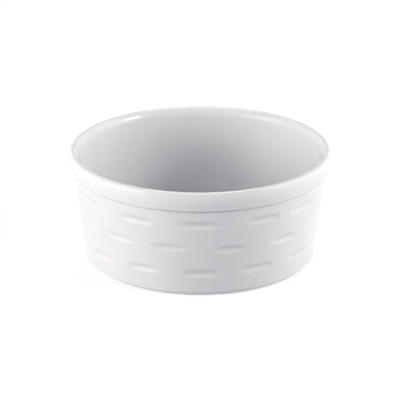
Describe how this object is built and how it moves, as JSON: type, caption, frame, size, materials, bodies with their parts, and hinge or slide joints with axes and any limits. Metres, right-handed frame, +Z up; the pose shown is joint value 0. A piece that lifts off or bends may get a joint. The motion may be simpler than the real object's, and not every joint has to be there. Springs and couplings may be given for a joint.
{
  "type": "souffle dish",
  "caption": "Round white porcelain souffle dish with a raised band under a rounded lip, a slightly leaning wall with rows of short pressed grooves, and a flat foot ring.",
  "frame": {"origin": "centre of the foot ring on the surface that the dish stands on", "axes": "+Z up along the dish's axis of turning; -Y is the side that faces the picture's camera"},
  "size_m": [0.18, 0.18, 0.0774],
  "materials": {
    "glazed_porcelain": "clear gloss glaze over white porcelain, with the foot ring left bare"
  },
  "bodies": {
    "root": {"dish": "glazed_porcelain"}
  },
  "joints": []
}
